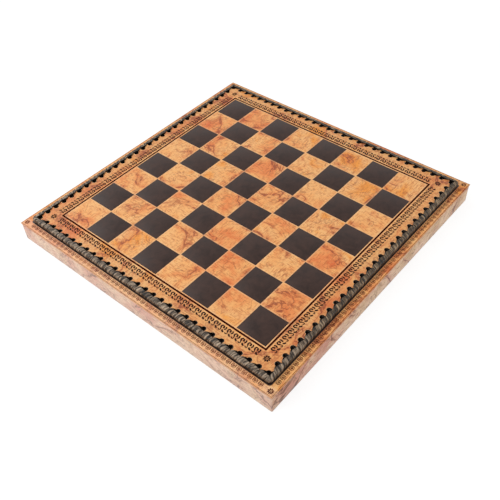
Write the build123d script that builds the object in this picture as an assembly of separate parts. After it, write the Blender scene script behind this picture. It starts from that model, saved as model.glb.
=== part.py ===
from build123d import *
import os

# A chess board box: a shallow felt-lined tray of four mitred rails, covered in printed leather, under a
# lift-off playing panel whose edge is whip-stitched all round with one flat leather lace.
# Millimetres, +Z up. The origin is the middle of the footprint, on the table. The -Y side is the near side
# of the player whose right-hand corner square is light.

# Driving dimensions
square = 35.0                   # one playing square
squares_per_side = 8
margin = 35.0                   # from the field to the outside of the rim
rim_top = 23.0                  # top of the rim, on which the lid's lace rests
play_top = 28.0                 # top of the playing surface
felt_thickness = 0.8            # pad under the bottom, as thick as the hem round it
leather_thickness = 0.8         # covering, rim strips and playing leather
lining_thickness = 0.5          # felt inside the tray
lid_lining_thickness = 0.6      # felt under the lid
bottom_thickness = 2.5          # hardboard bottom
core_thickness = 3.0            # plywood of the lid
rim_overhang = 0.5              # the rim strips stand out past the covering
panel_half = 164.2              # half the lid panel, without its lace
panel_corner_radius = 4.0
tray_half = 157.5               # half the tray inside its rails, without lining
stitches_per_side = 29
slot_line = 158.55              # from the centre to the row of lacing slots
lace_thickness = 1.15
lace_gap = 0.05                 # between the lace and the panel that it grips
lift_clearance = 0.6            # between the battens and the lined walls

# Worked out from them
field_half = square * squares_per_side / 2
board_half = field_half + margin
covering_half = board_half - rim_overhang
rail_half = covering_half - leather_thickness
rail_bottom = leather_thickness
rail_top = rim_top - leather_thickness
panel_top = felt_thickness + bottom_thickness
lining_top = panel_top + lining_thickness
lined_half = tray_half - lining_thickness
leather_bottom = play_top - leather_thickness
core_bottom = leather_bottom - core_thickness
stitch_pitch = 2 * slot_line / stitches_per_side

side_turns = {"front": 0, "right": 90, "back": 180, "left": 270}


# Shapes that several pieces share

def plate(half, bottom, top, corner_radius=0.0):
    """A square plate centred on the origin."""
    side = 2 * half
    outline = RectangleRounded(side, side, corner_radius) if corner_radius else Rectangle(side, side)
    return Pos(0, 0, bottom) * extrude(outline, top - bottom)


def square_ring(outer_half, inner_half, bottom, top, corner_radius=0.0):
    """A square tube on end, with the outer corners rounded if a radius is given."""
    return plate(outer_half, bottom, top, corner_radius) - plate(inner_half, bottom, top)


def front_quarter():
    """The quarter of the board nearest the front side, cut off along both diagonals for the mitres."""
    reach = 2 * board_half
    corners = [(0, 0), (reach, -reach), (-reach, -reach)]
    return extrude(make_face(Polyline(*corners, close=True)), 2 * play_top)


def mitred_sides(ring):
    """Cut a square ring along its diagonals into its front, right, back and left pieces."""
    return {side: Rot(0, 0, turn) * (ring & front_quarter()) for side, turn in side_turns.items()}


# Tray

rebate_width = 6.0              # step in the rails that the bottom panel sits in
panel_play = 0.2                # between the panel and the rebate
bottom_half = tray_half + rebate_width - panel_play


def make_base_felt():
    """A pad under the bottom panel, inside the covering's hem and flush with it."""
    return plate(bottom_half, 0, felt_thickness)


def make_bottom_panel():
    return plate(bottom_half, felt_thickness, panel_top)


def brad_placements():
    """Two brads to a corner: one driven in from each face of the mitre, at its own height."""
    brad_inset = (rail_half - tray_half) / 2
    lower_height, upper_height = 8.5, 16.0
    places = []
    for turn in side_turns.values():
        into_front = Location((rail_half - brad_inset, -rail_half, lower_height), (-90, 0, 0))
        into_right = Location((rail_half, -rail_half + brad_inset, upper_height), (0, -90, 0))
        places += [Rot(0, 0, turn) * into_front, Rot(0, 0, turn) * into_right]
    return places


def make_brad(length=18.0, shank_width=1.25, head_width=2.2, head_height=0.7, wire=1.0, point=1.6):
    """A flat wire brad along +Z with a T head, flush with the rail's face, and a chisel point."""
    profile = Polyline(
        (-head_width / 2, 0),
        (head_width / 2, 0),
        (head_width / 2, head_height),
        (shank_width / 2, head_height),
        (shank_width / 2, length - point),
        (0, length),
        (-shank_width / 2, length - point),
        (-shank_width / 2, head_height),
        (-head_width / 2, head_height),
        close=True,
    )
    return extrude(Plane.XZ * make_face(profile), wire / 2, both=True)


def make_corner_brads():
    return [place * make_brad() for place in brad_placements()]


def make_rails(brads):
    """Mitred rails with the rebate for the bottom panel and the brad holes."""
    ring = square_ring(rail_half, tray_half, rail_bottom, rail_top)
    ring -= plate(tray_half + rebate_width, rail_bottom, panel_top)
    rails = mitred_sides(ring)
    return {side: rail - brads for side, rail in rails.items()}


def make_side_covering():
    """One sheet wrapped round the rails and turned in under them as far as the bottom panel."""
    corner_radius = 1.2
    wrap = square_ring(covering_half, rail_half, 0, rail_top, corner_radius)
    hem = square_ring(rail_half, tray_half + rebate_width, 0, rail_bottom)
    return wrap + hem


def make_rim_strips():
    """Strips glued on the rails, with their outer edge skived."""
    ring = square_ring(board_half, lined_half, rail_top, rim_top)
    outer_edge = ring.faces().sort_by(Axis.Z)[-1].outer_wire().edges()
    return mitred_sides(chamfer(outer_edge, 0.3))


def make_wall_linings():
    return mitred_sides(square_ring(tray_half, lined_half, lining_top, rail_top))


batten_width = 6.0
batten_drop = 5.5
batten_outer = lined_half - lift_clearance
batten_inner = batten_outer - batten_width
batten_bottom = core_bottom - batten_drop


def make_centre_divider():
    """A wooden divider with a rounded top, notched at both ends to clear the lid's battens."""
    thickness = 5.0
    height = 18.6
    notch_play = 0.8
    blank = Pos(0, 0, lining_top + height / 2) * Box(thickness, 2 * lined_half, height)
    divider = fillet(blank.faces().sort_by(Axis.Z)[-1].edges().filter_by(Axis.Y), 1.8)
    notch_depth = lined_half - batten_inner + notch_play
    notch_bottom = batten_bottom - notch_play
    standing = (Align.CENTER, Align.CENTER, Align.MIN)
    notch = Box(2 * thickness, 2 * notch_depth, 2 * batten_drop, align=standing)
    for end in (-1, 1):
        divider -= Pos(0, end * lined_half, notch_bottom) * notch
    return divider


# Lid

slot_length, slot_width = 3.4, 2.6       # along the edge and across it


def front_slots():
    """Outlines of the slots on the front side, from the right-hand corner slot on, clockwise."""
    corner_slot = Pos(slot_line, -slot_line) * Rectangle(slot_length, slot_length)
    steps = range(1, stitches_per_side)
    slot = Rectangle(slot_length, slot_width)
    return [corner_slot] + [Pos(slot_line - step * stitch_pitch, -slot_line) * slot for step in steps]


def all_slots():
    return [Rot(0, 0, turn) * slot for turn in side_turns.values() for slot in front_slots()]


def make_lid_core():
    outline = RectangleRounded(2 * panel_half, 2 * panel_half, panel_corner_radius)
    return Pos(0, 0, core_bottom) * extrude(outline - all_slots(), core_thickness)


inlay_depth = 0.4
dark_square_side = 34.0
line_inner = field_half + 1.05
line_outer = field_half + 2.15


def dark_square_outlines():
    """Thirty-two squares: those of the even ranks, and those of the odd ones, a square up and across."""
    shift = square / 2
    half_count = squares_per_side // 2
    outline = Rectangle(dark_square_side, dark_square_side)
    places = GridLocations(2 * square, 2 * square, half_count, half_count)
    return [Pos(way * shift, way * shift) * place * outline for way in (-1, 1) for place in places]


def make_dark_squares():
    raised = Pos(0, 0, play_top - inlay_depth)
    return [raised * extrude(outline, inlay_depth) for outline in dark_square_outlines()]


def make_border_line():
    return square_ring(line_outer, line_inner, play_top - inlay_depth, play_top)


def make_playing_leather(dark_squares, border_line):
    """The top sheet, punched for the lace and pressed down where the dark squares and the line lie."""
    outline = RectangleRounded(2 * panel_half, 2 * panel_half, panel_corner_radius)
    sheet = Pos(0, 0, leather_bottom) * extrude(outline - all_slots(), leather_thickness)
    return sheet - dark_squares - border_line


def make_lid_lining():
    lining_play = 0.5
    return plate(batten_inner - lining_play, core_bottom - lid_lining_thickness, core_bottom)


def make_lid_battens():
    """Four battens inside the rails, tapered on the outside and at both ends, to lead the lid home."""
    length = 262.0
    taper = 2.0
    top_outline = Rectangle(length, batten_width)
    bottom_outline = Pos(0, taper / 2) * Rectangle(length - 2 * batten_drop, batten_width - taper)
    middle = core_bottom - batten_drop / 2
    upper = Pos(0, 0, middle) * extrude(top_outline, batten_drop / 2)
    lower = loft([Pos(0, 0, batten_bottom) * bottom_outline, Pos(0, 0, middle) * top_outline])
    batten = Pos(0, -(batten_outer + batten_inner) / 2) * (upper + lower)
    return {side: Rot(0, 0, turn) * batten for side, turn in side_turns.items()}


# Lacing: one flat lace comes up through each slot, gathered, spreads flat over the edge and runs back
# underneath to the next slot. A section is where the lace lies on its way: how far it is past its slot,
# in stitches, its width, and its inner and outer skin, each as (distance out from the slots, height).

lace_width_in_slot = 3.0
gathered = 1.2 * lace_thickness         # its thickness where it is bunched up in a slot
lace_width_at_edge = 10.4
spread_out = 3.4                        # where the lace has reached its full width, out from the slots
spread_advance, edge_advance = 0.16, 0.28
lace_over = play_top + lace_gap
lace_under = core_bottom - lace_gap
strip_end = panel_half - slot_line      # the panel's edge, out from the slots
strip_start = slot_width / 2 - lace_gap


def stitch_sections():
    """The sections of one stitch, up its slot, over the edge and back underneath to the next slot."""
    t = lace_thickness
    side = strip_end + lace_gap
    rolled = 0.5 * t                    # what is left of its thickness where it rolls over the edge
    narrow, wide = lace_width_in_slot, lace_width_at_edge
    return [
        (0.0, narrow, (strip_start, lace_under), (strip_start - gathered, lace_under - 0.7 * t)),
        (0.0, narrow, (strip_start, lace_over), (strip_start - gathered, lace_over + 0.7 * t)),
        (spread_advance, wide, (spread_out, lace_over), (spread_out, lace_over + t)),
        (edge_advance, wide, (strip_end, lace_over), (strip_end, lace_over + t)),
        (edge_advance, wide, (side, lace_over - lace_gap), (side + t, lace_over + rolled)),
        (edge_advance, wide, (side, lace_under + lace_gap), (side + t, lace_under - rolled)),
        (edge_advance, wide, (strip_end, lace_under), (strip_end, lace_under - t)),
    ]


def section_corners(along, width, inner, outer):
    """One section across the front side's lace, as four corners. Along runs clockwise, towards -X."""
    right, left = slot_line - along + width / 2, slot_line - along - width / 2
    (inner_out, inner_height), (outer_out, outer_height) = inner, outer
    return [
        (right, -slot_line - inner_out, inner_height),
        (left, -slot_line - inner_out, inner_height),
        (left, -slot_line - outer_out, outer_height),
        (right, -slot_line - outer_out, outer_height),
    ]


def flat_face(*corners):
    return make_face(Polyline(*corners, close=True))


def flat_sided_solid(sections):
    """A solid through four-cornered sections. Its skins are flat, and its twisting edges are triangles."""
    faces = [flat_face(*sections[0]), flat_face(*sections[-1])]
    for near, far in zip(sections, sections[1:]):
        for corner, following in ((0, 1), (2, 3)):
            faces.append(flat_face(near[corner], near[following], far[following], far[corner]))
        for corner, following in ((1, 2), (3, 0)):
            faces.append(flat_face(near[corner], near[following], far[following]))
            faces.append(flat_face(near[corner], far[following], far[corner]))
    return Solid(Shell(faces))


def make_front_lacing():
    """The unbroken lace of the front side, from one corner slot to just short of the next."""
    sections = []
    for stitch in range(stitches_per_side):
        for advance, width, inner, outer in stitch_sections():
            sections.append(section_corners((stitch + advance) * stitch_pitch, width, inner, outer))
    end_out = slot_length / 2 + 0.1     # beside the next lace, which fills the corner slot
    end_skins = ((end_out, lace_under), (end_out, lace_under - lace_thickness))
    sections.append(section_corners(stitches_per_side * stitch_pitch, lace_width_in_slot, *end_skins))
    return flat_sided_solid(sections)


def corner_prism(outline, bottom, top):
    """A prism whose outline is measured from the front right-hand corner slot, to the right and the front."""
    corners = [(slot_line + right, -slot_line - front) for right, front in outline]
    return Pos(0, 0, bottom) * extrude(make_face(Polyline(*corners, close=True)), top - bottom)


def make_corner_stitch():
    """The stitch that fans out of the front right-hand corner slot and folds round the panel's corner."""
    beside = stitch_pitch - lace_width_at_edge              # the gap between neighbouring stitches
    slot_reach = lace_width_in_slot / 2 + beside
    spread_reach = lace_width_at_edge / 2 - spread_advance * stitch_pitch
    edge_reach = lace_width_at_edge / 2 - edge_advance * stitch_pitch
    far = 10.0
    round_corner = [
        (edge_reach + beside, strip_end),
        (edge_reach + beside, far),
        (far, far),
        (far, -edge_reach),
        (strip_end, -edge_reach),
    ]
    from_slot = [(spread_out, -spread_reach), (slot_reach, -strip_start)]
    past_first_stitch = [(slot_reach, strip_start - gathered), (spread_reach + beside, spread_out)]
    middle = (play_top + core_bottom) / 2
    over = corner_prism(round_corner + from_slot + past_first_stitch, middle, 2 * play_top)
    under = corner_prism(round_corner + [(edge_reach + beside, strip_start)], 0, middle)
    lace_half = panel_half + lace_gap + lace_thickness
    outer_radius = panel_corner_radius + lace_thickness
    outer = plate(lace_half, lace_under - lace_thickness, lace_over + lace_thickness, outer_radius)
    outer = chamfer(outer.faces().filter_by(Axis.Z).edges(), 0.5 * lace_thickness)
    shell = outer - plate(panel_half + lace_gap, lace_under, lace_over, panel_corner_radius)
    return shell & (over + under)


def make_edge_lacing():
    front = [make_front_lacing(), make_corner_stitch()]
    return {side: [Rot(0, 0, turn) * piece for piece in front] for side, turn in side_turns.items()}


def write(node, solids):
    """Write one node: a solid, or several separate ones as a group."""
    shape = Compound(children=list(solids)) if isinstance(solids, list) else solids
    shape.label = node
    export_step(shape, f"parts/{node}.step")


def main():
    os.makedirs("parts", exist_ok=True)
    brads = make_corner_brads()
    dark_squares = make_dark_squares()
    border_line = make_border_line()
    single_nodes = {
        "base_felt": make_base_felt(),
        "bottom_panel": make_bottom_panel(),
        "side_covering": make_side_covering(),
        "floor_lining": plate(tray_half, panel_top, lining_top),
        "centre_divider": make_centre_divider(),
        "corner_brads": brads,
        "lid_core": make_lid_core(),
        "playing_leather": make_playing_leather(dark_squares, border_line),
        "dark_squares": dark_squares,
        "border_line": border_line,
        "lid_lining": make_lid_lining(),
    }
    four_sided_nodes = {
        "rail": make_rails(brads),
        "rim_strip": make_rim_strips(),
        "wall_lining": make_wall_linings(),
        "lid_batten": make_lid_battens(),
        "edge_lacing": make_edge_lacing(),
    }
    for node, shape in single_nodes.items():
        write(node, shape)
    for name, sides in four_sided_nodes.items():
        for side, shape in sides.items():
            write(f"{name}_{side}", shape)


main()
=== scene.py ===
# A chess board box: a low felt-lined tray covered in printed leather, and a lift-off playing panel whose
# edge is whip-stitched all round with one flat dark lace. The pieces are dressed in the order in which
# such a box is put together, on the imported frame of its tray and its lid.
import math
import random

import bmesh
import bpy
from mathutils import Matrix, Vector


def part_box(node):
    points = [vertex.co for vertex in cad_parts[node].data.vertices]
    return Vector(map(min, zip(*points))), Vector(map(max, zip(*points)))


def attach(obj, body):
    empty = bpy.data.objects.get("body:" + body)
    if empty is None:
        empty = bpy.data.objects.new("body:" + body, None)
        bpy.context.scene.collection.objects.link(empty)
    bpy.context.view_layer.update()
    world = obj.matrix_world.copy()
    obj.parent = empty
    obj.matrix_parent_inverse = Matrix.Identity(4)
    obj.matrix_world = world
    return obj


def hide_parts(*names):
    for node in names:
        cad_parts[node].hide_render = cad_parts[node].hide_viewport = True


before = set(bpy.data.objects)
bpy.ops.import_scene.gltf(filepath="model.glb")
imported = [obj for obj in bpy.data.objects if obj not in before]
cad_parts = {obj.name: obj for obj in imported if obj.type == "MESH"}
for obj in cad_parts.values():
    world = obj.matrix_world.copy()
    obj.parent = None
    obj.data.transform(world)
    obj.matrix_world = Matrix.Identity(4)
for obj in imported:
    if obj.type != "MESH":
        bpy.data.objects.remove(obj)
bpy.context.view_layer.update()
mm = 0.001


# Camera
# The board is seen from above its near left corner, through a slightly long lens held a little askew.

camera_data = bpy.data.cameras.new("camera")
camera_data.sensor_width = 36.0
camera_data.lens = 48.24
camera = bpy.data.objects.new("camera", camera_data)
camera.location = (-0.4057, -0.3714, 0.5124)
camera.rotation_euler = [math.radians(angle) for angle in (44.30, 2.24, -49.78)]
bpy.context.scene.collection.objects.link(camera)
bpy.context.scene.camera = camera
bpy.context.scene.view_settings.view_transform = "Standard"


# Studio
# White paper sweep and a white room, lit by three broad soft boxes: one on the left, one behind, whose
# sheen lies on the left half of the board, and a weaker one low on the near right.

def fill(tree, socket, value):
    """Give a shader input a plain value or another node's output."""
    if isinstance(value, bpy.types.NodeSocket):
        tree.links.new(value, socket)
    else:
        socket.default_value = value


def put(tree, kind, inputs=None, **settings):
    """Add a shader node, change its settings, and fill its inputs, each given by name or number."""
    made = tree.nodes.new(kind)
    for setting, value in settings.items():
        setattr(made, setting, value)
    for place, value in (inputs or {}).items():
        fill(tree, made.inputs[place], value)
    return made


def calculate(tree, operation, *values):
    return put(tree, "ShaderNodeMath", dict(enumerate(values)), operation=operation).outputs[0]


def seen_directly(tree):
    """One for rays that show the background, by sight, gloss or glass, and nought for rays that light."""
    path = put(tree, "ShaderNodeLightPath").outputs
    gloss_or_glass = calculate(tree, "MAXIMUM", path["Is Glossy Ray"], path["Is Transmission Ray"])
    return calculate(tree, "MAXIMUM", path["Is Camera Ray"], gloss_or_glass)


ambient_light = 0.52
white = (1.0, 1.0, 1.0, 1.0)
world = bpy.data.worlds.new("white_room")
bpy.context.scene.world = world
world.use_nodes = True
world_tree = world.node_tree
room_light = {"Value": seen_directly(world_tree), "To Min": ambient_light, "To Max": 1.0}
background = world_tree.nodes["Background"].inputs
fill(world_tree, background["Strength"], put(world_tree, "ShaderNodeMapRange", room_light).outputs["Result"])
fill(world_tree, background["Color"], white)

sweep_half = 2.5
sweep_drop = 0.1 * mm
lit_grey, shaded_grey = (0.62, 0.62, 0.62, 1.0), (0.26, 0.26, 0.26, 1.0)
paper_glow = 0.83
floor_mesh = bpy.data.meshes.new("paper_sweep")
sweep = bmesh.new()
bmesh.ops.create_grid(sweep, x_segments=1, y_segments=1, size=sweep_half)
bmesh.ops.translate(sweep, verts=sweep.verts, vec=(0, 0, -sweep_drop))
sweep.to_mesh(floor_mesh)
sweep.free()
floor = bpy.data.objects.new("paper_sweep", floor_mesh)
bpy.context.scene.collection.objects.link(floor)
paper = bpy.data.materials.new("white_paper")
paper.use_nodes = True
tree = paper.node_tree
tree.nodes.remove(tree.nodes["Principled BSDF"])
lit_paper = put(tree, "ShaderNodeBsdfDiffuse", {"Color": lit_grey}).outputs[0]
pale = put(tree, "ShaderNodeBsdfDiffuse", {"Color": shaded_grey}).outputs[0]
glow = put(tree, "ShaderNodeEmission", {"Color": white, "Strength": paper_glow}).outputs[0]
seen_paper = put(tree, "ShaderNodeAddShader", {0: pale, 1: glow}).outputs[0]
paper_mix = put(tree, "ShaderNodeMixShader", {0: seen_directly(tree), 1: lit_paper, 2: seen_paper})
fill(tree, tree.nodes["Material Output"].inputs["Surface"], paper_mix.outputs[0])
floor_mesh.materials.append(paper)


def hang_lamp(name, place, size, power):
    """A square soft box that points at the middle of the board."""
    lamp_data = bpy.data.lights.new(name, "AREA")
    lamp_data.shape = "SQUARE"
    lamp_data.size = size
    lamp_data.energy = power
    lamp = bpy.data.objects.new(name, lamp_data)
    lamp.location = place
    lamp.rotation_euler = Vector(place).to_track_quat("Z", "Y").to_euler()
    bpy.context.scene.collection.objects.link(lamp)


hang_lamp("left_soft_box", (-1.25, 0.25, 0.95), 0.8, 7.2)
hang_lamp("back_soft_box", (-0.15, 1.15, 1.05), 1.0, 6.0)
hang_lamp("front_soft_box", (0.8, -1.3, 0.55), 0.8, 4.2)


# Felt
# Dark green felt is cut to size and glued: a pad under the tray, a floor and four wall strips inside it,
# and a square under the lid. Its cut edges are soft and its nap lies a little unevenly.

def colour(red, green, blue):
    """A colour as it shows on a screen, 0 to 255, as the linear value that a shader takes."""
    def linear(level):
        share = level / 255
        return share / 12.92 if share <= 0.04045 else ((share + 0.055) / 1.055) ** 2.4
    return (linear(red), linear(green), linear(blue), 1.0)


def start_material(name, roughness, specular=0.5):
    """A new material, its node tree and its main shader."""
    material = bpy.data.materials.new(name)
    material.use_nodes = True
    shader = material.node_tree.nodes["Principled BSDF"]
    shader.inputs["Roughness"].default_value = roughness
    shader.inputs["Specular IOR Level"].default_value = specular
    return material, material.node_tree, shader


def noise(tree, place, scale, detail=2.0, roughness=0.5, distortion=0.0):
    """Cloudy noise about one half. The scale is in clouds to the metre."""
    inputs = {"Vector": place, "Scale": scale, "Detail": detail}
    inputs.update({"Roughness": roughness, "Distortion": distortion})
    return put(tree, "ShaderNodeTexNoise", inputs).outputs["Fac"]


def spread(tree, value, low, high, to_low=0.0, to_high=1.0):
    """Stretch a value from low..high to to_low..to_high, smoothly, and no further."""
    inputs = {"Value": value, "From Min": low, "From Max": high, "To Min": to_low, "To Max": to_high}
    return put(tree, "ShaderNodeMapRange", inputs, interpolation_type="SMOOTHSTEP").outputs["Result"]


def times(tree, first, second):
    return calculate(tree, "MULTIPLY", first, second)


def blended(tree, *parts):
    """Values added together, each by its share: (value, share)."""
    weighed = [times(tree, value, share) for value, share in parts]
    total = weighed[0]
    for further in weighed[1:]:
        total = calculate(tree, "ADD", total, further)
    return total


def ramp(tree, value, stops):
    """A colour for each value, by its stops: (value, colour)."""
    made = put(tree, "ShaderNodeValToRGB", {"Fac": value})
    elements = made.color_ramp.elements
    while len(elements) < len(stops):
        elements.new(1.0)
    for element, (position, stop_colour) in zip(elements, stops):
        element.position = position
        element.color = stop_colour
    return made.outputs["Color"]


def paint(tree, shader, finish):
    """Colour a shader by what its nodes make."""
    fill(tree, shader.inputs["Base Color"], finish)


def dye(tree, shader, value, *stops):
    """Colour a shader by a value, through stops."""
    paint(tree, shader, ramp(tree, value, stops))


def tint(tree, share, first, second, blend="MIX"):
    """Mix the second colour into the first by that share."""
    made = put(tree, "ShaderNodeMix", data_type="RGBA", blend_type=blend)
    for name, value in (("Factor_Float", share), ("A_Color", first), ("B_Color", second)):
        fill(tree, next(one for one in made.inputs if one.identifier == name), value)
    return next(one for one in made.outputs if one.identifier == "Result_Color")


def raise_surface(tree, shader, height, strength, distance):
    """Let a height pattern catch the light, at most distance high."""
    bump = put(tree, "ShaderNodeBump", {"Height": height, "Strength": strength, "Distance": distance})
    fill(tree, shader.inputs["Normal"], bump.outputs["Normal"])


def own_place(tree):
    """Places on the piece itself, in metres."""
    return put(tree, "ShaderNodeTexCoord").outputs["Object"]


felt, tree, shader = start_material("green_felt", 0.95, 0.15)
place = own_place(tree)
fibres = noise(tree, place, 1400, 4, 0.75, 0.6)
pressed = noise(tree, place, 22, 3, 0.6)
dye(tree, shader, blended(tree, (fibres, 0.6), (pressed, 0.4)),
    (0.34, colour(24, 43, 30)), (0.5, colour(37, 62, 44)), (0.66, colour(54, 82, 58)))
shader.inputs["Sheen Weight"].default_value = 0.25
shader.inputs["Sheen Roughness"].default_value = 0.6
raise_surface(tree, shader, fibres, 0.5, 0.15 * mm)


def dress(name, built, material, smooth_angle=35.0):
    """Turn a finished bmesh into an object of that material, smooth but for its sharp edges."""
    bmesh.ops.recalc_face_normals(built, faces=built.faces)
    mesh = bpy.data.meshes.new(name)
    built.to_mesh(mesh)
    built.free()
    mesh.shade_smooth()
    mesh.set_sharp_from_angle(angle=math.radians(smooth_angle))
    mesh.materials.append(material)
    piece = bpy.data.objects.new(name, mesh)
    bpy.context.scene.collection.objects.link(piece)
    return piece


def add_block(built, middle, size):
    """Add a box to a bmesh, by its middle and its size."""
    verts = bmesh.ops.create_cube(built, size=1.0)["verts"]
    bmesh.ops.scale(built, verts=verts, vec=size)
    bmesh.ops.translate(built, verts=verts, vec=middle)


def block(low, high):
    """A bmesh box between two corners."""
    built = bmesh.new()
    add_block(built, (Vector(high) + Vector(low)) / 2, Vector(high) - Vector(low))
    return built


def soften(built, edges, width, segments=2):
    """Round those edges off by a width."""
    bmesh.ops.bevel(built, geom=list(edges), offset=width, offset_type="OFFSET", affect="EDGES",
                    segments=segments, profile=0.5, material=-1)


edge_share, nap_share = 0.3, 0.06
nap_length, nap_cuts = 40 * mm, 24


def lay_felt(name, node, body, seed):
    """A cut of felt in place of its node: softened edges, and a nap that is a little uneven."""
    low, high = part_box(node)
    thickness = min(high - low)
    built = block(low, high)
    soften(built, built.edges, edge_share * thickness)
    long_edges = [edge for edge in built.edges if edge.calc_length() > nap_length]
    bmesh.ops.subdivide_edges(built, edges=long_edges, cuts=nap_cuts, use_grid_fill=True)
    chance = random.Random(seed)
    for vert in built.verts:
        vert.co += Vector([chance.uniform(-1, 1) * nap_share * thickness for _ in range(3)])
    piece = dress(name, built, felt, 60.0)
    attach(piece, body)
    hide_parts(node)


sides = ("front", "right", "back", "left")
lay_felt("base_pad", "base_felt", "tray", 1)
lay_felt("floor_felt", "floor_lining", "tray", 2)
for seed, side in enumerate(sides):
    lay_felt(f"wall_felt_{side}", f"wall_lining_{side}", "tray", 3 + seed)
lay_felt("lid_felt", "lid_lining", "lid", 7)


# Wooden parts
# Pine rails, mitred and pinned, a hardboard bottom, a divider, and the lid's plywood with its battens. All
# are bare, but the plywood's slot walls, and its top round the slots under the leather, are painted black as
# painted shade, so that the lace holes read dark.

long_grain = 9 / 260


def wood(name, pale, dark, grain_along, rings=90.0):
    """Planed wood whose grain runs along that axis."""
    material, tree, shader = start_material(name, 0.62, 0.3)
    squash = [1.0, 1.0, 1.0]
    squash["xyz".index(grain_along)] = long_grain
    place = put(tree, "ShaderNodeMapping", {"Vector": own_place(tree), "Scale": squash}).outputs["Vector"]
    bands = noise(tree, place, rings, 3, 0.55, 1.4)
    fibres = noise(tree, place, 1500, 3, 0.7)
    dye(tree, shader, blended(tree, (bands, 0.75), (fibres, 0.25)), (0.38, dark), (0.6, pale))
    raise_surface(tree, shader, fibres, 0.35, 0.05 * mm)
    return material, tree, shader


def paint_node(name, material):
    for material_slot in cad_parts[name].material_slots:
        material_slot.material = material


pine_x = wood("pine_along_x", colour(222, 190, 146), colour(188, 148, 102), "x")[0]
pine_y = wood("pine_along_y", colour(222, 190, 146), colour(188, 148, 102), "y")[0]
for side, pine in zip(sides, (pine_x, pine_y, pine_x, pine_y)):
    paint_node(f"rail_{side}", pine)
    paint_node(f"lid_batten_{side}", pine)
paint_node("centre_divider", pine_y)

hardboard, tree, shader = start_material("hardboard", 0.55, 0.35)
pulp = noise(tree, own_place(tree), 420, 6, 0.7)
dye(tree, shader, pulp, (0.35, colour(96, 64, 42)), (0.65, colour(132, 92, 62)))
raise_surface(tree, shader, pulp, 0.3, 0.05 * mm)
paint_node("bottom_panel", hardboard)


def split_place(tree):
    """A point's own place, as x, y and z."""
    return put(tree, "ShaderNodeSeparateXYZ", {"Vector": own_place(tree)}).outputs


def furthest_out(tree, split):
    """How far out a point lies, towards whichever side of the board is nearest."""
    return calculate(tree, "MAXIMUM", *[calculate(tree, "ABSOLUTE", way) for way in split[:2]])


def facing_up(tree):
    """How squarely a face looks up, from -1 to 1."""
    normal = put(tree, "ShaderNodeNewGeometry").outputs["Normal"]
    return put(tree, "ShaderNodeSeparateXYZ", {"Vector": normal}).outputs[2]


plywood, tree, shader = wood("birch_ply", colour(226, 200, 160), colour(200, 168, 124), "x", 60.0)
bare = shader.inputs["Base Color"].links[0].from_socket
furthest, upward = furthest_out(tree, split_place(tree)), facing_up(tree)
panel_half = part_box("lid_core")[1].x
slot_line = 158.55 * mm
# Painted shade: the slot walls and the top within reach of the slot line are tinted black, so that the lace
# holes read dark.
slot_shade_reach = 3.9 * mm
slot_shade_black = colour(24, 18, 15)
in_slots = calculate(tree, "LESS_THAN", furthest, panel_half - 0.5 * mm)
upright = calculate(tree, "LESS_THAN", calculate(tree, "ABSOLUTE", upward), 0.5)
near_slot_line = calculate(tree, "COMPARE", furthest, slot_line, slot_shade_reach)
under_leather = times(tree, near_slot_line, calculate(tree, "GREATER_THAN", upward, 0.5))
painted_slot_shade = calculate(tree, "MAXIMUM", times(tree, in_slots, upright), under_leather)
paint(tree, shader, tint(tree, painted_slot_shade, bare, slot_shade_black))
paint_node("lid_core", plywood)

steel, tree, shader = start_material("brad_wire", 0.35)
shader.inputs["Metallic"].default_value = 1.0
drawn = noise(tree, own_place(tree), 900, 3)
dye(tree, shader, drawn, (0.3, colour(150, 148, 144)), (0.7, colour(190, 188, 184)))
paint_node("corner_brads", steel)


# Side covering
# One sheet of printed leather is wrapped round the rails, turned in under them and glued. The print is
# paler and pinker here than on top, with the same wandering brown lines.

def contours(tree, place, scale, steps):
    """Saw-toothed levels of a cloudy relief: nought along each of its level curves."""
    return calculate(tree, "PINGPONG", times(tree, noise(tree, place, scale, 5, 0.55, 0.7), steps), 1.0)


def strokes(tree, place, stretch):
    """Short fine strokes that run across the most stretched way."""
    squeezed = put(tree, "ShaderNodeMapping", {"Vector": place, "Scale": stretch}).outputs["Vector"]
    return spread(tree, noise(tree, squeezed, 190, 2, 0.5, 0.4), 0.54, 0.61)


def grey(tree, value):
    return put(tree, "ShaderNodeCombineColor", {"Red": value, "Green": value, "Blue": value}).outputs["Color"]


def pores(tree, place, scale):
    """The pebbled grain of leather, by its pores to the metre."""
    inputs = {"Vector": place, "Scale": scale}
    return put(tree, "ShaderNodeTexVoronoi", inputs, feature="SMOOTH_F1").outputs["Distance"]


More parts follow.
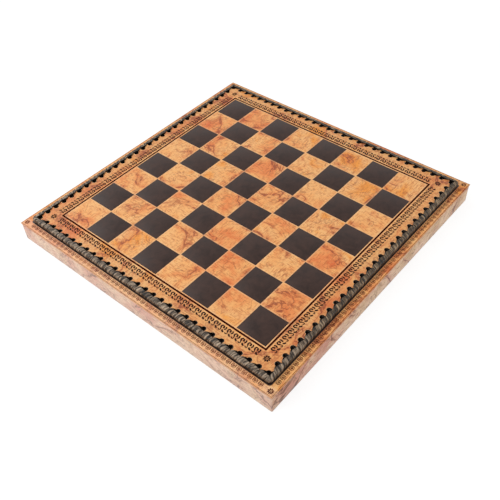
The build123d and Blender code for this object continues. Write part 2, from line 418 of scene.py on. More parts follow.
def printed_leather(name, tones, ink, blush, deep, share, ways, offset=(0.0, 0.0, 0.0), roughness=0.42):
    """Aged printed leather: clouds of tone, thin wandering lines with a blush beside them, fine strokes
    in two ways, mottling and worn places, over the grain of the leather."""
    material, tree, shader = start_material(name, roughness, 0.45)
    place = put(tree, "ShaderNodeMapping", {"Vector": own_place(tree), "Location": offset}).outputs["Vector"]
    regions = noise(tree, place, 13, 2, 0.5, 0.8)
    patches = noise(tree, place, 52, 4, 0.6, 0.5)
    base = ramp(tree, blended(tree, (regions, 0.6), (patches, 0.4)), tones)
    coast = contours(tree, place, 17, 8.0)
    shown = spread(tree, noise(tree, place, 31, 2), 0.4, 0.54)
    beside = times(tree, spread(tree, coast, 0.0, 0.5, 1.0, 0.0), shown)
    blushed = tint(tree, times(tree, beside, 0.7 * share), base, blush)
    line = times(tree, spread(tree, coast, 0.03, 0.12, 1.0, 0.0), shown)
    stream = spread(tree, contours(tree, place, 55, 11.0), 0.08, 0.3, 1.0, 0.0)
    stream = times(tree, stream, spread(tree, noise(tree, place, 60, 2), 0.44, 0.58, 0.0, 0.62))
    which = spread(tree, noise(tree, place, 36, 3, 0.6), 0.44, 0.56)
    one_way = times(tree, strokes(tree, place, ways[0]), which)
    other_way = times(tree, strokes(tree, place, ways[1]), calculate(tree, "SUBTRACT", 1.0, which))
    fine = times(tree, calculate(tree, "MAXIMUM", one_way, other_way), 0.75 * share)
    stroked = tint(tree, fine, blushed, deep)
    inked = times(tree, calculate(tree, "MAXIMUM", line, stream), share)
    printed = tint(tree, inked, stroked, ink)
    worn = spread(tree, noise(tree, place, 170, 5, 0.7), 0.52, 0.7, 0.0, 0.3)
    aged = tint(tree, worn, printed, tones[-2][1])
    mottle = spread(tree, noise(tree, place, 330, 3, 0.6), 0.48, 0.68, 0.0, 0.4)
    mottled = tint(tree, mottle, aged, deep)
    speckle = spread(tree, noise(tree, place, 1500, 2, 0.6), 0.3, 0.7, 0.95, 1.04)
    mottled = tint(tree, 1.0, mottled, grey(tree, speckle), "MULTIPLY")
    creases = noise(tree, place, 260, 4, 0.65, 0.8)
    grain = calculate(tree, "ADD", times(tree, pores(tree, place, 1150.0), 0.5), creases)
    raise_surface(tree, shader, grain, 0.45, 0.12 * mm)
    rough = spread(tree, creases, 0.3, 0.7, roughness - 0.06, roughness + 0.1)
    fill(tree, shader.inputs["Roughness"], rough)
    return material, tree, shader, mottled


wall_tones = [
    (0.36, colour(226, 160, 140)),
    (0.44, colour(240, 189, 160)),
    (0.50, colour(250, 213, 182)),
    (0.57, colour(242, 206, 167)),
    (0.66, colour(224, 186, 144)),
]
along_walls = [(0.8, 0.8, 6.0), (0.5, 0.5, 3.0)]
wall_leather, tree, shader, finish = printed_leather(
    "printed_leather_sides", wall_tones, colour(122, 76, 56), colour(214, 144, 124), colour(190, 140, 112),
    0.95, along_walls, (0.31, 0.12, 0.4))
# Painted sheen: the left wall's outer face is tinted paler, where the left lamp's sheen falls.
left_wall, wall_sheen_colour = (-174 * mm, -173 * mm), colour(255, 232, 220)
left_sheen = spread(tree, split_place(tree)[0], *left_wall, 0.25, 0.0)
paint(tree, shader, tint(tree, left_sheen, finish, wall_sheen_colour))


def upright_edges(built, height):
    """The edges that rise by more than that height."""
    return [edge for edge in built.edges if abs((edge.verts[0].co - edge.verts[1].co).z) > height]


covering_low, covering_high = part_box("side_covering")
leather_thickness = 0.8 * mm
hem_width = 11.0 * mm
corner_round, foot_round = 1.2 * mm, 0.5 * mm
wrap = block(covering_low, covering_high)
top_faces = [face for face in wrap.faces if face.normal.z > 0.5]
bmesh.ops.delete(wrap, geom=top_faces, context="FACES")
underside = [face for face in wrap.faces if face.normal.z < -0.5]
bmesh.ops.inset_region(wrap, faces=underside, thickness=hem_width)
bmesh.ops.delete(wrap, geom=underside, context="FACES")
soften(wrap, upright_edges(wrap, 5 * mm), corner_round, 5)
foot_edges = [edge for edge in wrap.edges if len(edge.link_faces) == 2
              and min(face.normal.z for face in edge.link_faces) < -0.5
              and min(abs(face.normal.z) for face in edge.link_faces) < 0.5]
soften(wrap, foot_edges, foot_round, 3)
side_wrap = dress("side_wrap", wrap, wall_leather)
thickness = side_wrap.modifiers.new("leather", "SOLIDIFY")
thickness.thickness = leather_thickness
thickness.offset = -1.0
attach(side_wrap, "tray")
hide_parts("side_covering")


# Rim
# Four mitred strips of the printed leather are glued on the rails, a hair proud of the sides. Their outer
# edge is rolled, with a painted shadow line along it; a painted contact shadow lies beside the lid's lace,
# round the lid, and the left strip is painted paler, as painted sheen.

top_tones = [
    (0.34, colour(228, 114, 56)),
    (0.41, colour(244, 149, 82)),
    (0.48, colour(253, 181, 108)),
    (0.56, colour(254, 193, 124)),
    (0.64, colour(248, 160, 64)),
]
across_board = [(0.8, 5.0, 1.0), (5.0, 0.8, 1.0)]
top_ink, top_blush, top_deep = colour(140, 58, 26), colour(218, 106, 50), colour(194, 98, 44)
rim_low, rim_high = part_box("rim_strip_front")
board_half = rim_high.x
rim_top = rim_high.z
lace_outside = -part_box("edge_lacing_front")[0].y

rim_leather, tree, shader, finish = printed_leather(
    "printed_leather_rim", top_tones, top_ink, top_blush, top_deep, 0.7, across_board, (0.07, 0.21, 0.0))
split = split_place(tree)
# Painted shadow: the rim is tinted near-black along the foot of the lid's lace and under it, as the lid's
# contact shadow.
lace_corner = 1.7 * mm
contact_shadow_fade, contact_shadow_under_lace = (1.0 * mm, 1.9 * mm), (-5.0 * mm, -3.0 * mm)
edge_shadow_band = (board_half - 1.0 * mm, board_half - 0.1 * mm)
left_strip = (-166 * mm, -165 * mm)
contact_shadow_colour, edge_shadow_brown, rim_sheen_colour = colour(28, 7, 2), colour(170, 92, 46), colour(255, 226, 200)
straight = lace_outside - lace_corner
past = [calculate(tree, "SUBTRACT", calculate(tree, "ABSOLUTE", way), straight) for way in split[:2]]
past_x, past_y = [calculate(tree, "MAXIMUM", way, 0.0) for way in past]
past_corner = put(tree, "ShaderNodeCombineXYZ", {"X": past_x, "Y": past_y}).outputs[0]
reach = put(tree, "ShaderNodeVectorMath", {0: past_corner}, operation="LENGTH").outputs["Value"]
to_lace = calculate(tree, "SUBTRACT", reach, lace_corner)
contact_shadow = times(tree, spread(tree, to_lace, *contact_shadow_fade, 1.0, 0.0),
               spread(tree, to_lace, *contact_shadow_under_lace, 0.2, 1.0))
shadowed = tint(tree, contact_shadow, finish, contact_shadow_colour)
# Painted shadow: a dark brown line is tinted along the rim's rolled outer edge.
painted_light_share = spread(tree, furthest_out(tree, split), *edge_shadow_band, 0.0, 0.5)
edged = tint(tree, painted_light_share, shadowed, edge_shadow_brown)
# Painted sheen: the left strip is tinted paler, but not where the contact shadow lies.
left_sheen = times(tree, spread(tree, split[0], *left_strip, 0.22, 0.0), calculate(tree, "SUBTRACT", 1.0, contact_shadow))
paint(tree, shader, tint(tree, left_sheen, edged, rim_sheen_colour))


def side_turn(side):
    """The turn from the front side of the board to that side."""
    return Matrix.Rotation(math.radians(90.0 * sides.index(side)), 3, "Z")


def quarter_turn(built, side):
    """Turn a piece made for the front side to its own side of the board."""
    bmesh.ops.rotate(built, verts=built.verts, cent=(0, 0, 0), matrix=side_turn(side))


rolled_edge = 0.45 * mm
for side in sides:
    strip = block(rim_low, rim_high)
    for vert in strip.verts:
        if vert.co.y > (rim_low.y + rim_high.y) / 2:
            vert.co.x *= -rim_high.y / board_half
    top_edges = [edge for edge in strip.edges if all(vert.co.z > rim_top - 0.1 * mm for vert in edge.verts)]
    outer_edges = [edge for edge in top_edges if all(vert.co.y < rim_low.y + mm for vert in edge.verts)]
    soften(strip, outer_edges, rolled_edge, 4)
    quarter_turn(strip, side)
    rim_strip = dress(f"rim_leather_{side}", strip, rim_leather)
    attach(rim_strip, "tray")
    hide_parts(f"rim_strip_{side}")


# Tooling
# Scroll borders are rolled into the leather with a hot tool and blackened. The rim's is a worn row of rings
# and brackets between broken lines, with a fine line along the edge and a small flower at each corner.

tool_relief = 0.06 * mm
tool_root = 0.01 * mm
doubled = 0.005 * mm
arc_step = 32
petal_out, petal_half, dot_half = 2.35, (1.25, 0.8), (0.65, 0.65)


def tooled_arc(built, centre, radius, start, turn, width, steps):
    """One curved tool line: a low ridge spun round its centre."""
    direction = Vector((math.cos(start), math.sin(start), 0))
    rise = Vector((0, 0, tool_relief))
    sunk = Vector((0, 0, -tool_root))
    ends = [centre + direction * (radius - width / 2) + sunk,
            centre + direction * (radius + width / 2) + sunk,
            centre + direction * radius + rise]
    section = built.faces.new([built.verts.new(place) for place in ends])
    full = turn >= 2 * math.pi
    bmesh.ops.spin(built, geom=[section], cent=centre, axis=(0, 0, 1), angle=turn, steps=steps,
                   use_merge=full)
    if full:
        bmesh.ops.remove_doubles(built, verts=built.verts, dist=doubled)


def extrude_faces(built, faces, way):
    """Extrude faces that way, and say which vertices are new."""
    grown = bmesh.ops.extrude_face_region(built, geom=faces)["geom"]
    moved = [one for one in grown if isinstance(one, bmesh.types.BMVert)]
    bmesh.ops.translate(built, verts=moved, vec=way)
    return moved


def tooled_bar(built, start, end, width):
    """One straight tool line: a low ridge from one point to another."""
    along = (end - start).normalized()
    across = Vector((-along.y, along.x, 0)) * width / 2
    sunk = Vector((0, 0, -tool_root))
    section = [start + across + sunk, start - across + sunk, start + Vector((0, 0, tool_relief))]
    extrude_faces(built, [built.faces.new([built.verts.new(place) for place in section])], end - start)


def tool_line(built, middle, unit, shape):
    """One line of a motif, in units from its middle: an arc (x, y, radius, from, turn, width) in degrees,
    or a bar (x, y, to x, to y, width)."""
    width = shape[-1] * unit
    start = middle + Vector((shape[0], shape[1], 0)) * unit
    if len(shape) == 5:
        tooled_bar(built, start, middle + Vector((shape[2], shape[3], 0)) * unit, width)
    else:
        steps = max(3, round(shape[4] / arc_step))
        begin, turn = math.radians(shape[3]), math.radians(shape[4])
        tooled_arc(built, start, shape[2] * unit, begin, turn, width, steps)


def rolled_band(motif, repeats, repeat, unit, middle_line, top):
    """The front side of a border: its motif over and over, so many times each way from the middle."""
    band = bmesh.new()
    for number in range(-repeats, repeats + 1):
        for shape in motif:
            tool_line(band, Vector((number * repeat, -middle_line, top)), unit, shape)
    return band


def tooled_star(built, middle, unit):
    """A flower of eight petals round a dot."""
    petals = [(petal_out, petal_half, math.radians(45.0 * petal)) for petal in range(8)]
    for out, (half_length, half_width), angle in [(0.0, dot_half, 0.0)] + petals:
        outline = bmesh.ops.create_circle(built, cap_ends=True, segments=8, radius=1.0)["verts"]
        bmesh.ops.scale(built, verts=outline, vec=(half_length * unit, half_width * unit, 1.0))
        bmesh.ops.translate(built, verts=outline, vec=(out * unit, 0, -tool_root))
        petal_face = list({face for vert in outline for face in vert.link_faces})
        whole = outline + extrude_faces(built, petal_face, (0, 0, tool_root + tool_relief))
        bmesh.ops.rotate(built, verts=whole, cent=(0, 0, 0), matrix=Matrix.Rotation(angle, 3, "Z"))
        bmesh.ops.translate(built, verts=whole, vec=middle)


def tooled_leather(name, fresh, faded, fade_low, fade_high):
    """Blackened tooling, worn back to the leather in places."""
    material, tree, shader = start_material(name, 0.75, 0.15)
    place = own_place(tree)
    wear = spread(tree, noise(tree, place, 18, 4, 0.65, 0.4), fade_low, fade_high)
    fine_wear = spread(tree, noise(tree, place, 420, 3, 0.6), 0.48, 0.68, 0.0, 0.35)
    worn = calculate(tree, "MAXIMUM", wear, fine_wear)
    paint(tree, shader, tint(tree, worn, fresh, faded))
    raise_surface(tree, shader, noise(tree, place, 700, 3), 0.3, 0.04 * mm)
    return material


sheen_side_tooling = tooled_leather("sheen_side_tooling", colour(96, 38, 18), colour(196, 114, 68), 0.5, 0.72)
shade_side_tooling = tooled_leather("shade_side_tooling", colour(64, 20, 9), colour(168, 86, 46), 0.56, 0.8)
rim_repeat, rim_repeats = 6.1 * mm, 26
rim_band_line = 169.8 * mm
edge_line, edge_line_width = board_half - 0.95 * mm, 0.45 * mm
rim_petal = 0.85 * mm
rim_motif = [
    (0.0, 0.1, 0.75, 0, 360, 0.95),
    (-0.75, 0.1, 1.4, 122, 116, 0.95),
    (0.75, 0.1, 1.4, -58, 116, 0.95),
    (-2.6, 1.85, -0.1, 1.9, 0.65),
    (0.6, 1.8, 2.4, 1.85, 0.6),
    (-1.4, -1.7, 1.3, -1.65, 0.6),
]
# The front and right rims take the darker tooling and the left and back rims a paler copy: painted sheen on
# the sides that catch the lamps.
for side in sides:
    band = rolled_band(rim_motif, rim_repeats, rim_repeat, rim_repeat / 6, rim_band_line, rim_top)
    line_ends = [Vector((way * edge_line, -edge_line, rim_top)) for way in (-1, 1)]
    tooled_bar(band, *line_ends, edge_line_width)
    tooled_star(band, Vector((-rim_band_line, -rim_band_line, rim_top)), rim_petal)
    quarter_turn(band, side)
    tooling = dress(f"rim_tooling_{side}", band, shade_side_tooling if side in ("front", "right") else sheen_side_tooling)
    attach(tooling, "tray")


# Playing leather
# The top sheet is printed, punched for the lace, pressed down where the dark squares lie, and glued to the
# plywood. Each punched hole has a puckered lip, worn paler and painted paler still as a highlight, and cut
# walls painted black as painted shade. The pressed edges and both sides of the line carry a painted
# highlight.

play_low, play_top_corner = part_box("playing_leather")
play_top = play_top_corner.z
square = 35.0 * mm
field_half = 4 * square
stitches_per_side = 29
pitch = 2 * slot_line / stitches_per_side
hole_radius, corner_hole_radius = 2.75 * mm, 2.95 * mm
hole_shift = Vector((0.6, -0.6, 0)) * mm
line_inside, line_outside = field_half + 0.7 * mm, field_half + 2.75 * mm
pressed_rim, line_rim = (0.55 * mm, 0.95 * mm), 1.4 * mm
band_start = (field_half + 4.0 * mm, field_half + 5.0 * mm)
band_end = (field_half + 12.2 * mm, field_half + 13.4 * mm)
ridge_highlight_colour, antique_brown, hole_shade_black = colour(255, 208, 154), colour(120, 62, 40), colour(14, 7, 4)

top_leather, tree, shader, finish = printed_leather(
    "printed_leather_top", top_tones, top_ink, top_blush, top_deep, 0.8, across_board)
split = split_place(tree)
furthest = furthest_out(tree, split)
# Painted highlight: a paler line along the pressed edges of the dark squares and either side of the border
# line, on their ridges.
to_grid = calculate(tree, "MINIMUM", *[calculate(tree, "PINGPONG", way, square / 2) for way in split[:2]])
pressed_edge = times(tree, spread(tree, to_grid, *pressed_rim, 1.0, 0.0),
                     calculate(tree, "LESS_THAN", furthest, field_half + 0.9 * mm))
beside_line = calculate(tree, "COMPARE", furthest, (line_inside + line_outside) / 2, line_rim)
ridge_highlight = times(tree, calculate(tree, "MAXIMUM", pressed_edge, beside_line), 0.35)
finish = tint(tree, ridge_highlight, finish, ridge_highlight_colour)
band_inside = spread(tree, furthest, *band_start)
band_outside = spread(tree, furthest, *band_end, 1.0, 0.0)
antique = times(tree, times(tree, band_inside, band_outside), 0.16)
antique = calculate(tree, "MAXIMUM", antique, times(tree, band_inside, 0.12))
finish = tint(tree, antique, finish, antique_brown)
# Painted shade: the sheet's cut walls out by the lace holes are near-black, for the shade down the holes.
cut_edge = calculate(tree, "LESS_THAN", calculate(tree, "ABSOLUTE", facing_up(tree)), 0.5)
in_hole = times(tree, cut_edge, calculate(tree, "GREATER_THAN", furthest, field_half + 10 * mm))
paint(tree, shader, tint(tree, in_hole, finish, hole_shade_black))


def hole_places():
    """The holes of all four sides, each side from its corner hole on, clockwise seen from above. They are
    pulled a little out and back by the lace, so they lie beside the middles of the slots under them."""
    for side in sides:
        for step in range(stitches_per_side):
            radius = hole_radius if step else corner_hole_radius
            yield side_turn(side) @ (Vector((slot_line - step * pitch, -slot_line, 0)) + hole_shift), radius


def cut_away(piece, cutter_mesh):
    """Cut a closed mesh out of a piece for good."""
    cutter = bpy.data.objects.new("cutter", cutter_mesh)
    bpy.context.scene.collection.objects.link(cutter)
    cut = piece.modifiers.new("cut", "BOOLEAN")
    cut.operation = "DIFFERENCE"
    cut.solver = "EXACT"
    cut.object = cutter
    bpy.context.view_layer.update()
    shaped = bpy.data.meshes.new_from_object(piece.evaluated_get(bpy.context.evaluated_depsgraph_get()))
    piece.modifiers.clear()
    piece.data = shaped
    bpy.data.objects.remove(cutter)


def dark_square_places():
    """The middles of the dark squares, among them the near left corner square."""
    for column in range(8):
        for row in range(8):
            if (column + row) % 2 == 0:
                yield Vector(((column - 3.5) * square, (row - 3.5) * square, 0))


inlay_depth = 0.4 * mm
dark_half = 17.0 * mm
recess_size = (2 * (dark_half + 0.05 * mm), 2 * (dark_half + 0.05 * mm), 2 * inlay_depth)
sheet_corner = 4.0 * mm
punch_length = 6 * mm

sheet = block(play_low, play_top_corner)
soften(sheet, upright_edges(sheet, 0.5 * mm), sheet_corner, 6)
playing_sheet = dress("playing_sheet", sheet, top_leather)
cutter = bmesh.new()
for place, radius in hole_places():
    punched = bmesh.ops.create_cone(cutter, cap_ends=True, segments=16, radius1=radius, radius2=radius,
                                    depth=punch_length)
    bmesh.ops.translate(cutter, verts=punched["verts"], vec=place + Vector((0, 0, play_top)))
for place in dark_square_places():
    add_block(cutter, place + Vector((0, 0, play_top)), recess_size)
cutter_mesh = bpy.data.meshes.new("punches")
cutter.to_mesh(cutter_mesh)
cutter.free()
cut_away(playing_sheet, cutter_mesh)
playing_sheet.data.set_sharp_from_angle(angle=math.radians(30))
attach(playing_sheet, "lid")
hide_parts("playing_leather")

# The lips are paler partly from wear and partly as a painted highlight on their raised rims.
lip_leather, tree, shader = start_material("worn_and_highlit_lips", 0.45, 0.45)
lip_wear_and_highlight = noise(tree, own_place(tree), 300, 3, 0.6)
dye(tree, shader, lip_wear_and_highlight, (0.35, colour(216, 146, 92)), (0.65, colour(250, 206, 156)))
lip_profile = [(0.0, -0.1), (0.06, 0.1), (0.22, 0.15), (0.5, -0.1)]
lips = bmesh.new()
for place, radius in hole_places():
    ring = [lips.verts.new(place + Vector((radius + out * mm, 0, play_top + rise * mm)))
            for out, rise in lip_profile]
    edges = [lips.edges.new(pair) for pair in zip(ring, ring[1:] + ring[:1])]
    bmesh.ops.spin(lips, geom=ring + edges, cent=place, axis=(0, 0, 1), angle=2 * math.pi, steps=12,
                   use_merge=True)
bmesh.ops.remove_doubles(lips, verts=lips.verts, dist=doubled)
hole_lips = dress("hole_lips", lips, lip_leather, 60.0)
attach(hole_lips, "lid")


# Dark squares and line
# Thirty-two squares of thin black leather are pressed into the sheet, with a narrow black line round the
# field. Their cut edges are eased, and they shine a little more than the print.

black_leather, tree, shader = start_material("black_leather", 0.4, 0.3)
place = own_place(tree)
hide = noise(tree, place, 95, 5, 0.65, 0.6)
dye(tree, shader, hide, (0.32, colour(38, 18, 10)), (0.68, colour(62, 40, 32)))
hide_pores, hide_creases = pores(tree, place, 1000.0), noise(tree, place, 240, 5, 0.7, 0.5)
raise_surface(tree, shader, calculate(tree, "ADD", times(tree, hide_pores, 0.4), hide_creases), 0.4, 0.1 * mm)
fill(tree, shader.inputs["Roughness"], spread(tree, hide, 0.3, 0.7, 0.36, 0.48))

proud = 0.03 * mm
inlays = bmesh.new()
for place in dark_square_places():
    middle = place + Vector((0, 0, play_top + (proud - inlay_depth) / 2))
    add_block(inlays, middle, (2 * dark_half, 2 * dark_half, inlay_depth + proud))
eased = [edge for edge in inlays.edges if all(vert.co.z > play_top for vert in edge.verts)]
soften(inlays, eased, 0.12 * mm)
squares = dress("dark_inlays", inlays, black_leather)
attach(squares, "lid")
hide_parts("dark_squares")

line_leather, tree, shader = start_material("black_leather_line", 0.9, 0.03)
edge_hide = noise(tree, own_place(tree), 300, 4, 0.65)
dye(tree, shader, edge_hide, (0.35, colour(40, 6, 1)), (0.65, colour(74, 22, 6)))
raise_surface(tree, shader, edge_hide, 0.4, 0.05 * mm)
line = bmesh.new()
bmesh.ops.create_grid(line, x_segments=1, y_segments=1, size=line_outside)
centre_face = list(line.faces)
bmesh.ops.inset_region(line, faces=centre_face, thickness=line_outside - line_inside, use_boundary=True,
                       use_even_offset=True)
bmesh.ops.delete(line, geom=centre_face, context="FACES")
bmesh.ops.translate(line, verts=line.verts, vec=(0, 0, play_top - proud))
extrude_faces(line, list(line.faces), (0, 0, 2 * proud))
border = dress("border_line_inlay", line, line_leather)
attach(border, "lid")
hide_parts("border_line")


# Playing border
# A blackened border is run round the field between the line and the lace, close to the line: scrolls that
# curl over a bud, over a row of slanting leaves. Its four corners each have a flower of eight petals.

playing_tooling = tooled_leather("playing_tooling", colour(30, 8, 3), colour(96, 40, 18), 0.58, 0.82)
repeat, repeats = 8.0 * mm, 17
band_middle = field_half + 8.6 * mm
petal = 1.0 * mm
playing_motif = [
    (-0.9, 2.15, 1.75, 100, 160, 1.8),
    (-0.5, 2.75, 1.0, 25, 120, 1.1),
    (0.1, 3.3, 0.5, 1.1, 2.1),
    (0.95, 2.15, 1.95, -62, 124, 1.75),
    (0.4, -0.7, 2.9, -2.6, 1.8),
    (2.2, -1.2, 1.3, 190, 140, 1.3),
    (-2.2, -1.4, 1.05, 180, 160, 1.25),
    (-1.8, 0.0, -0.9, -1.6, 1.1),
]
for side in sides:
    band = rolled_band(playing_motif, repeats, repeat, repeat / 8, band_middle, play_top)
    tooled_star(band, Vector((-band_middle, -band_middle, play_top)), petal)
    quarter_turn(band, side)
    tooling = dress(f"tooled_band_{side}", band, playing_tooling)
    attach(tooling, "lid")


# Lacing
# One flat strip of dark leather comes up through each hole, gathered, spreads in folds over the panel's edge
# to its neighbours, and runs back underneath to the next hole. Its ridges are worn grey, painted paler still
# along the left side as painted sheen, and it is painted near-black as painted shade down its holes, along
# its seams, in its folds and where it meets the rim.

lace_leather, tree, shader = start_material("lace_leather", 0.46, 0.35)
# The depth attribute carries the lace's painted shade.
across, along, depth = [put(tree, "ShaderNodeAttribute", attribute_name=name).outputs["Fac"]
                        for name in ("across", "along", "depth")]
lie = put(tree, "ShaderNodeCombineXYZ", {"X": across, "Y": along}).outputs["Vector"]
streak_place = put(tree, "ShaderNodeMapping", {"Vector": lie, "Scale": (1.0, 0.09, 1.0)}).outputs["Vector"]
streaks = noise(tree, streak_place, 0.5, 2, 0.55, 0.2)
fine_streaks = noise(tree, streak_place, 1.5, 3, 0.6)
blotches = noise(tree, own_place(tree), 150, 3)
shade = blended(tree, (streaks, 0.55), (fine_streaks, 0.35), (blotches, 0.1))
greys = [
    (0.4, colour(18, 11, 6)),
    (0.46, colour(62, 48, 34)),
    (0.53, colour(112, 89, 64)),
    (0.61, colour(190, 163, 130)),
]
# Painted sheen: on the left side the lace's lighter streaks are tinted paler grey, where the left lamp's
# sheen falls.
left_side = (-150 * mm, -60 * mm)
left_sheen_grey, painted_shade_black = colour(216, 194, 172), colour(13, 10, 8)
painted_light_share = times(tree, spread(tree, split_place(tree)[0], *left_side, 0.42, 0.0),
                spread(tree, shade, 0.46, 0.56))
lace_with_left_sheen = tint(tree, painted_light_share, ramp(tree, shade, greys), left_sheen_grey)
# Painted shade: the lace is tinted near-black by its depth attribute, down the holes, along its seams, in its
# folds and where it meets the rim.
paint(tree, shader, tint(tree, depth, lace_with_left_sheen, painted_shade_black))
raise_surface(tree, shader, shade, 0.6, 0.35 * mm)

# Painted shade: the lace down in the holes gets a near-black material.
throat_shade_leather, tree, shader = start_material("lace_throat_shade", 0.9, 0.05)
throat_mottle = noise(tree, own_place(tree), 500, 3)
dye(tree, shader, throat_mottle, (0.35, colour(6, 3, 2)), (0.7, colour(17, 11, 8)))

lace_thickness = 1.15 * mm
soft_across, soft_through = 0.8, 0.5
panel_edge = panel_half - slot_line
panel_corner = 0.7 * mm
end_of_stitch = pitch / mm

# The way of one stitch. Each station gives the lace's right edge and left edge, as (on along the row from
# its own hole, out from the row), the height of its middle, how its face looks (0 up, 90 outwards), how
# deep its pleats are, and how much painted shade it gets, down its hole and where it meets the rim.
stitch_way = [
    ((-1.6, 1.1), (1.2, 0.1), 25.0, -90, 0.2, 1.0),
    ((-1.9, 1.6), (1.1, 0.4), 27.0, -84, 0.3, 1.0),
    ((-2.4, 2.2), (1.7, 0.5), 28.1, -58, 0.45, 1.0),
    ((-2.85, 2.6), (2.7, 0.6), 28.66, -18, 0.5, 1.0),
    ((-3.1, 3.0), (3.9, 1.2), 28.84, 2, 0.6, 1.0),
    ((-3.2, 3.2), (5.4, 1.6), 28.84, 4, 0.6, 1.0),
    ((-3.35, 3.45), (6.7, 2.2), 28.78, 4, 0.55, 0.3),
    ((-3.6, 3.7), (7.5, 3.3), 28.7, 3, 0.5, 0.0),
    ((-3.2, 4.2), (7.75, 4.2), 28.64, 1, 0.42, 0.0),
    ((-2.6, 5.4), (8.3, 5.4), 28.6, 6, 0.36, 0.0),
    ((-2.35, 6.2), (8.5, 6.2), 28.42, 36, 0.28, 0.0),
    ((-2.0, 6.75), (8.85, 6.75), 27.75, 80, 0.2, 0.05),
    ((-1.3, 6.85), (9.55, 6.85), 26.3, 90, 0.16, 0.25),
    ((-0.55, 6.85), (10.3, 6.85), 24.6, 92, 0.14, 0.7),
    ((-0.2, 6.5), (10.65, 6.5), 23.8, 135, 0.1, 0.6),
    ((0.1, 5.5), (10.95, 5.5), 23.58, 178, 0.1, 0.4),
    ((3.2, 3.4), (11.7, 3.4), 23.58, 180, 0.2, 0.3),
    ((end_of_stitch - 2.6, 1.9), (end_of_stitch + 2.0, 1.5), 23.6, 182, 0.3, 0.5),
    ((end_of_stitch - 1.5, 1.25), (end_of_stitch + 1.4, 0.4), 23.9, 222, 0.3, 0.9),
]


def ring_shape(segments):
    """The lace's section, crowned with soft edges: (across from -1 to 1, through from -1 to 1) all round."""
    for number in range(segments):
        angle = 2 * math.pi * number / segments
        width, height = math.cos(angle), math.sin(angle)
        yield (math.copysign(abs(width) ** soft_across, width),
               math.copysign(abs(height) ** soft_through, height))


def pleats(across_value, folds):
    """How far the face is folded in or out at that place across, by its folds: (place, width, depth)."""
    return sum(-depth * math.exp(-((across_value - place) / width) ** 2) for place, width, depth in folds)


deepest, groove_share = 0.85, 1.7


def painted_shade_at(across_value, fold, dark, width):
    """How much painted shade a place on the lace gets: down its hole, along its edges and in a fold,
    whichever is most.
    """
    seam = deepest * max(0.0, (abs(across_value) - (1 - width)) / width)
    return max(dark, seam, min(deepest, -groove_share * fold))


def face_way(outwards, look):
    """Which way the lace's face looks: up at 0 degrees, and outwards at 90."""
    way = Vector((outwards.x, outwards.y, 0)) * math.sin(math.radians(look))
    way.z = math.cos(math.radians(look))
    return way


def lace_through(built, segments, stations, layers):
    """A closed strip through its stations, each a list of (place, across, along, painted shade) round the
    section.
    """
    ring = bmesh.ops.create_circle(built, segments=segments, radius=1.0)["verts"]
    edges = list({edge for vert in ring for edge in vert.link_edges})
    bmesh.ops.contextual_create(built, geom=edges)
    for number, station in enumerate(stations):
        if number:
            grown = bmesh.ops.extrude_edge_only(built, edges=edges)["geom"]
            fresh = {one for one in grown if isinstance(one, bmesh.types.BMVert)}
            ring = [next(edge.other_vert(vert) for edge in vert.link_edges if edge.other_vert(vert) in fresh)
                    for vert in ring]
            edges = [one for one in grown if isinstance(one, bmesh.types.BMEdge)
                     and all(vert in fresh for vert in one.verts)]
        for vert, (place, across_value, along_value, shade_value) in zip(ring, station):
            vert.co = place
            vert[layers[0]] = across_value
            vert[layers[1]] = along_value
            vert[layers[2]] = shade_value
    bmesh.ops.contextual_create(built, geom=edges)


fold_places, fan_fold_places = (-0.5, 0.05, 0.55), (-0.62, -0.2, 0.22, 0.6)
crown = 0.25
seam_width, fan_seam_width = 0.12, 0.1
over_edge = 11
grain_across, fan_grain_across, grain_stitch = 5, 8, 20
grain_along, grain_station = 30, 1.7


def front_lace_stations(segments, chance):
    """Every station of the front side's lace, with no two stitches quite alike."""
    stations = []
    for stitch in range(stitches_per_side):
        folds = [(middle + chance.uniform(-0.1, 0.1), chance.uniform(0.1, 0.16), chance.uniform(0.7, 1.6))
                 for middle in fold_places]
        shift = chance.uniform(-0.3, 0.3)
        hole_along = slot_line - stitch * pitch
        for number, (right, left, height, look, pleat, dark) in enumerate(stitch_way):
            along_edge = Vector((left[0] - right[0], left[1] - right[1])).normalized()
            outwards = Vector((along_edge.y, -along_edge.x)) if look < 100 else Vector((0, -1))
            look_way = face_way(outwards, look)
            loose = math.sin(math.pi * min(number / over_edge, 1.0))
            along_value = stitch * grain_along + number * grain_station
            station = []
            for across_value, through in ring_shape(segments):
                share = (across_value + 1) / 2
                slide = loose * shift * math.sin(math.pi * share)
                advance = right[0] + (left[0] - right[0]) * share + slide
                out = right[1] + (left[1] - right[1]) * share
                place = Vector((hole_along - advance * mm, -slot_line - out * mm, height * mm))
                fold = pleats(across_value, folds)
                crowned = fold + crown * loose * (1 - across_value ** 2)
                place += look_way * (crowned * pleat * mm + through * lace_thickness / 2)
                station.append((place, grain_across * across_value + grain_stitch * stitch, along_value,
                                painted_shade_at(across_value, fold * pleat, dark, seam_width)))
            stations.append(station)
    return stations


def corner_outline(share, front_end, right_end, offset):
    """A point round the panel's corner, offset outwards, from the front side's end to the right side's."""
    radius = panel_corner
    straight = panel_edge - radius
    first, last = straight - front_end, straight - right_end
    arc = math.pi / 2 * radius
    way = share * (first + arc + last)
    if way < first:
        return Vector((front_end + way, -panel_edge - offset)), Vector((0, -1))
    if way < first + arc:
        angle = (way - first) / radius - math.pi / 2
        normal = Vector((math.cos(angle), math.sin(angle)))
        return Vector((straight, -straight)) + normal * (radius + offset), normal
    return Vector((panel_edge + offset, -straight + way - first - arc)), Vector((1, 0))


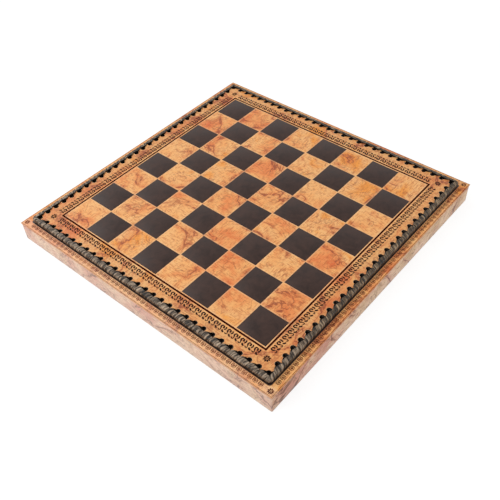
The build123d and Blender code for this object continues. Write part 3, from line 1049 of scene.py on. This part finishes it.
# The way of the corner's fan, which leaves the corner hole over the corner and comes back underneath: how
# far it has got from the hole to the panel's edge, how far past that it stands out, its height, its ends,
# as (along the edge from the hole, out from the holes), its look, its pleats and its painted shade.
fan_way = [
    (0.0, 0.0, 25.4, (1.4, 1.1), -90, 0.2, 1.0),
    (0.06, 0.0, 27.2, (1.8, 1.5), -84, 0.3, 1.0),
    (0.15, 0.0, 28.15, (2.4, 2.1), -56, 0.45, 1.0),
    (0.25, 0.0, 28.68, (2.85, 2.6), -16, 0.5, 1.0),
    (0.4, 0.0, 28.84, (3.1, 3.0), 2, 0.55, 1.0),
    (0.48, 0.0, 28.84, (3.2, 3.2), 4, 0.55, 1.0),
    (0.58, 0.0, 28.78, (3.35, 3.45), 4, 0.5, 0.3),
    (0.72, 0.0, 28.7, (3.6, 3.7), 3, 0.45, 0.0),
    (0.85, 0.0, 28.64, (3.2, 4.2), 1, 0.4, 0.0),
    (0.97, 0.0, 28.6, (2.6, 5.4), 6, 0.34, 0.0),
    (1.0, 0.55, 28.42, (2.35, 6.2), 36, 0.26, 0.0),
    (1.0, 1.1, 27.75, (2.0, 6.75), 80, 0.2, 0.05),
    (1.0, 1.2, 26.3, (1.3, 6.85), 90, 0.16, 0.25),
    (1.0, 1.2, 24.6, (0.55, 6.85), 92, 0.14, 0.7),
    (1.0, 0.85, 23.8, (0.2, 6.5), 135, 0.12, 0.6),
    (0.95, 0.0, 23.58, (-0.1, 5.5), 178, 0.1, 0.4),
    (0.7, 0.0, 23.58, (-0.6, 4.3), 180, 0.1, 0.4),
]


def corner_fan_stations(segments, chance):
    """The stations of the stitch round the front right-hand corner, whose folds spread like a fan's."""
    stations = []
    start, end = Vector((1.2, -1.0)) * mm, Vector((1.0, 1.2)) * mm
    edge_end = 2.6 * mm
    folds = [(place + chance.uniform(-0.04, 0.04), 0.08, chance.uniform(0.8, 1.5))
             for place in fan_fold_places]
    for number, (progress, beyond, height, (reach, out), look, pleat, dark) in enumerate(fan_way):
        front_end, right_end = Vector((reach, -out)) * mm, Vector((out, reach)) * mm

        def plain_place(share):
            rim_point, normal = corner_outline(share, edge_end, edge_end, beyond * mm)
            return start.lerp(end, share).lerp(rim_point, progress), normal

        front_shift = front_end - plain_place(0.0)[0]
        right_shift = right_end - plain_place(1.0)[0]
        station = []
        for across_value, through in ring_shape(segments):
            share = (1 - across_value) / 2
            flat, normal = plain_place(share)
            flat = flat + front_shift * (1 - share) ** 3 + right_shift * share ** 3
            middle = (start + end) / 2
            outwards = normal if progress > 0.9 else (flat - middle + Vector((0.4, -0.4)) * mm).normalized()
            fold = pleats(across_value, folds)
            place = Vector((slot_line + flat.x, -slot_line + flat.y, height * mm))
            place += face_way(outwards, look) * (fold * pleat * mm + through * lace_thickness / 2)
            station.append((place, fan_grain_across * across_value, number * grain_station,
                            painted_shade_at(across_value, fold * pleat, dark, fan_seam_width)))
        stations.append(station)
    return stations


lace_seed = 40
stitch_segments, fan_segments = 38, 56
# Faces wholly in full painted shade, down the holes, take the black throat material.
for side in sides:
    strip = bmesh.new()
    layers = [strip.verts.layers.float.new(name) for name in ("across", "along", "depth")]
    chance = random.Random(lace_seed + sides.index(side))
    lace_through(strip, stitch_segments, front_lace_stations(stitch_segments, chance), layers)
    lace_through(strip, fan_segments, corner_fan_stations(fan_segments, chance), layers)
    for face in strip.faces:
        face.material_index = int(all(vert[layers[2]] > 0.99 for vert in face.verts))
    quarter_turn(strip, side)
    lace = dress(f"lace_{side}", strip, lace_leather, 180.0)
    lace.data.materials.append(throat_shade_leather)
    rounding = lace.modifiers.new("rounding", "SUBSURF")
    rounding.levels = rounding.render_levels = 1
    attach(lace, "lid")
    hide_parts(f"edge_lacing_{side}")
